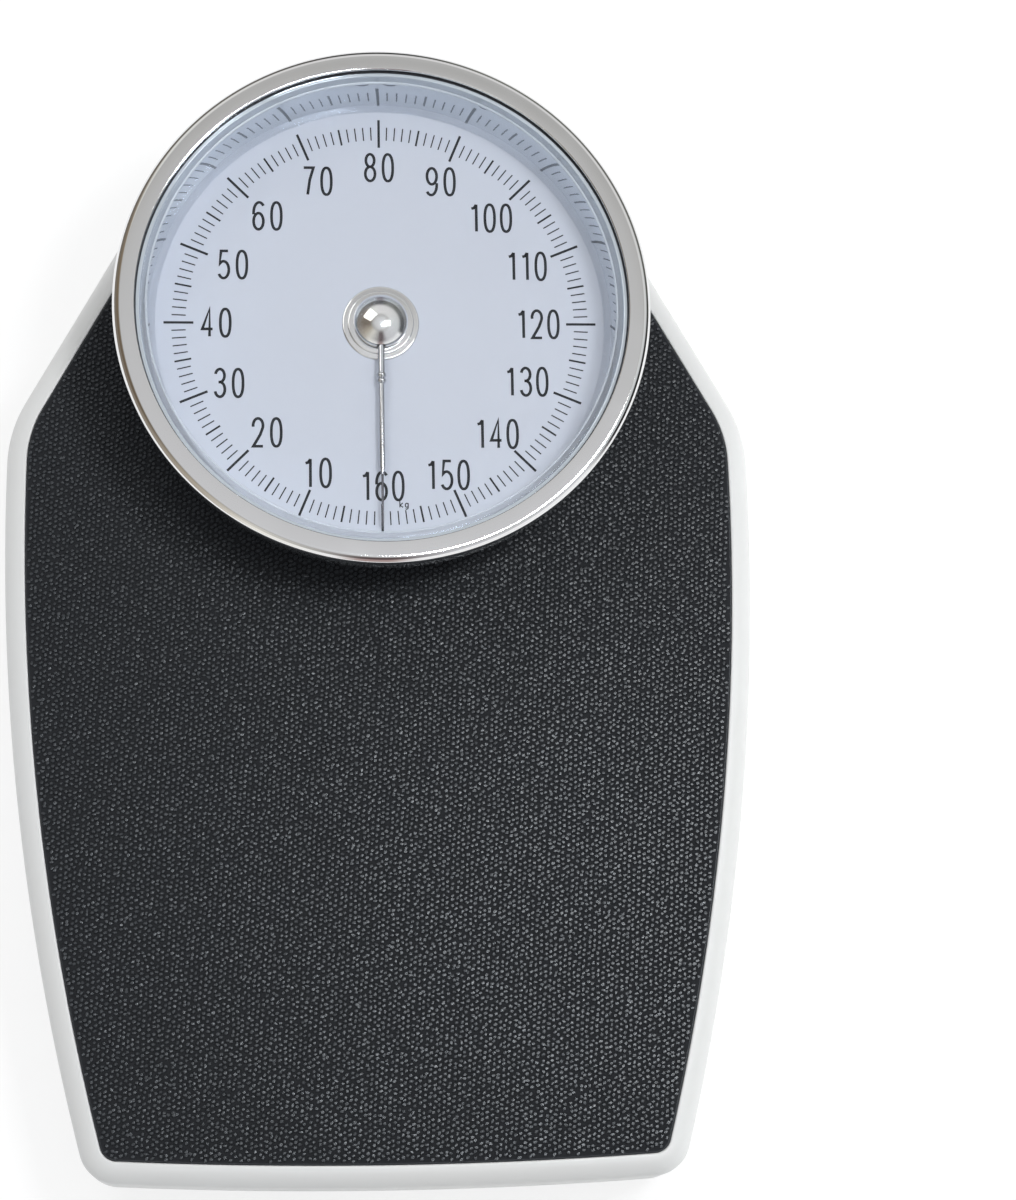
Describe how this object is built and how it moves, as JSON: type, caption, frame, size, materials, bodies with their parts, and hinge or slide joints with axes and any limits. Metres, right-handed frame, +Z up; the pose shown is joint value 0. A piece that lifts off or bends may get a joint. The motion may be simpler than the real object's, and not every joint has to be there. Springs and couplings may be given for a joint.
{
  "type": "mechanical bathroom scale",
  "caption": "Floor scale with a lever-carried platform, a weighing spring, and a crank, rack and pinion that turn a pointer over a large round dial.",
  "frame": {"origin": "on the floor under the middle of the overall box", "axes": "+Y from the user's end towards the dial head, +X to the right seen from the user's end, +Z up"},
  "size_m": [0.29, 0.432, 0.096],
  "materials": {
    "white_enamel": "gloss",
    "black_vinyl": "pebbled",
    "bezel_chrome": "polished",
    "lens_clear": "clear",
    "dial_face": "satin",
    "wall_gloss": "gloss",
    "housing_white": "gloss",
    "hub_chrome": "polished",
    "pointer_aluminium": "polished",
    "zinc_steel": "satin",
    "lever_steel": "satin",
    "spring_steel": "satin",
    "brass": "satin",
    "foot_rubber": "matte",
    "wheel_plastic": "satin"
  },
  "bodies": {
    "base": {"base_tray": "white_enamel", "spring_bridge": "zinc_steel", "mechanism_frame": "zinc_steel", "rack_guide": "zinc_steel", "bearing_strap": "zinc_steel", "thrust_cup": "brass", "shaft_bush": "brass", "crank_pin": "zinc_steel", "dial_column": "white_enamel", "dial_housing": "housing_white", "dial_plate": "dial_face", "spacer_ring": "wall_gloss", "dial_lens": "lens_clear", "lens_wall": "lens_clear", "bezel_ring": "bezel_chrome", "hub_collar": "hub_chrome", "bracket_rivets": "zinc_steel", "column_screws": "zinc_steel", "frame_screws": "zinc_steel", "housing_screws": "zinc_steel", "main_spring": "spring_steel", "return_spring": "spring_steel", "hold_down_springs": "spring_steel", "front_left_foot": "foot_rubber", "front_right_foot": "foot_rubber", "rear_left_foot": "foot_rubber", "rear_right_foot": "foot_rubber", "front_left_fulcrum_bracket": "zinc_steel", "front_right_fulcrum_bracket": "zinc_steel", "rear_left_fulcrum_bracket": "zinc_steel", "rear_right_fulcrum_bracket": "zinc_steel"},
    "main_lever": {"long_lever_left": "lever_steel", "long_lever_right": "lever_steel", "lever_nose": "lever_steel", "long_lever_pins": "zinc_steel", "nose_rivets": "zinc_steel", "spring_anchor": "zinc_steel"},
    "platform": {"platform_cover": "white_enamel", "tread_mat": "black_vinyl", "front_left_platform_hanger": "zinc_steel", "front_right_platform_hanger": "zinc_steel", "rear_left_platform_hanger": "zinc_steel", "rear_right_platform_hanger": "zinc_steel"},
    "rear_lever_left": {"short_lever_left": "lever_steel", "short_lever_pins_left": "zinc_steel"},
    "rear_lever_right": {"short_lever_right": "lever_steel", "short_lever_pins_right": "zinc_steel"},
    "link_left": {"lever_link_left": "zinc_steel"},
    "link_right": {"lever_link_right": "zinc_steel"},
    "crank": {"bell_crank": "zinc_steel"},
    "rack": {"toothed_rack": "brass"},
    "pointer_set": {"pointer": "pointer_aluminium", "pointer_cap": "hub_chrome", "pointer_shaft": "zinc_steel", "drive_pinion": "brass"},
    "zero_knob": {"zero_wheel": "wheel_plastic"},
    "zero_stud": {"spring_stud": "zinc_steel"}
  },
  "joints": [
    {"name": "lever_swing", "type": "hinge", "parent": "base", "child": "main_lever", "pos_m": [0, -0.165, 0.0285], "axis": [-1, 0, 0], "range_deg": [0, 2], "stiffness_Nm_per_rad": 1124, "springref_deg": -0.02, "deforming": ["main_spring"]},
    {"name": "platform_travel", "type": "slide", "parent": "base", "child": "platform", "axis": [0, 0, -1], "range_m": [0, 0.000875], "deforming": ["hold_down_springs"]},
    {"name": "rear_left_swing", "type": "hinge", "parent": "base", "child": "rear_lever_left", "pos_m": [-0.1, 0.075, 0.018], "axis": [1, 0, 0], "range_deg": [0, 2]},
    {"name": "rear_right_swing", "type": "hinge", "parent": "base", "child": "rear_lever_right", "pos_m": [0.1, 0.075, 0.018], "axis": [1, 0, 0], "range_deg": [0, 2]},
    {"name": "link_left_travel", "type": "slide", "parent": "base", "child": "link_left", "axis": [0, 0, -1], "range_m": [0, 0.0042]},
    {"name": "link_right_travel", "type": "slide", "parent": "base", "child": "link_right", "axis": [0, 0, -1], "range_m": [0, 0.0042]},
    {"name": "crank_turn", "type": "hinge", "parent": "base", "child": "crank", "pos_m": [-0.006, 0.13212, 0.02125], "axis": [-1, 0, 0], "range_deg": [0, 48], "deforming": ["return_spring"]},
    {"name": "rack_travel", "type": "slide", "parent": "base", "child": "rack", "axis": [0, 1, 0], "range_m": [0, 0.01885]},
    {"name": "pointer_turn", "type": "hinge", "parent": "base", "child": "pointer_set", "pos_m": [0, 0.1132, 0.06], "axis": [0, 0, -1], "range_deg": [0, 360]},
    {"name": "zero_adjust", "type": "hinge", "parent": "base", "child": "zero_knob", "pos_m": [0, 0.16, 0.0571], "axis": [0, 0, 1], "range_deg": [-288, 288]},
    {"name": "zero_stud_travel", "type": "slide", "parent": "base", "child": "zero_stud", "axis": [0, 0, 1], "range_m": [-0.00081, 0.00081], "deforming": ["main_spring"]}
  ],
  "couplings": [
    {"joint": "platform_travel", "follows": "lever_swing", "m_per_rad": 0.025},
    {"joint": "rear_left_swing", "follows": "lever_swing", "ratio": 1},
    {"joint": "rear_right_swing", "follows": "lever_swing", "ratio": 1},
    {"joint": "link_left_travel", "follows": "lever_swing", "m_per_rad": 0.12},
    {"joint": "link_right_travel", "follows": "lever_swing", "m_per_rad": 0.12},
    {"joint": "crank_turn", "follows": "lever_swing", "ratio": 24},
    {"joint": "rack_travel", "follows": "lever_swing", "m_per_rad": 0.54},
    {"joint": "pointer_turn", "follows": "lever_swing", "ratio": 180},
    {"joint": "zero_stud_travel", "follows": "zero_adjust", "m_per_rad": 0.00015915}
  ]
}
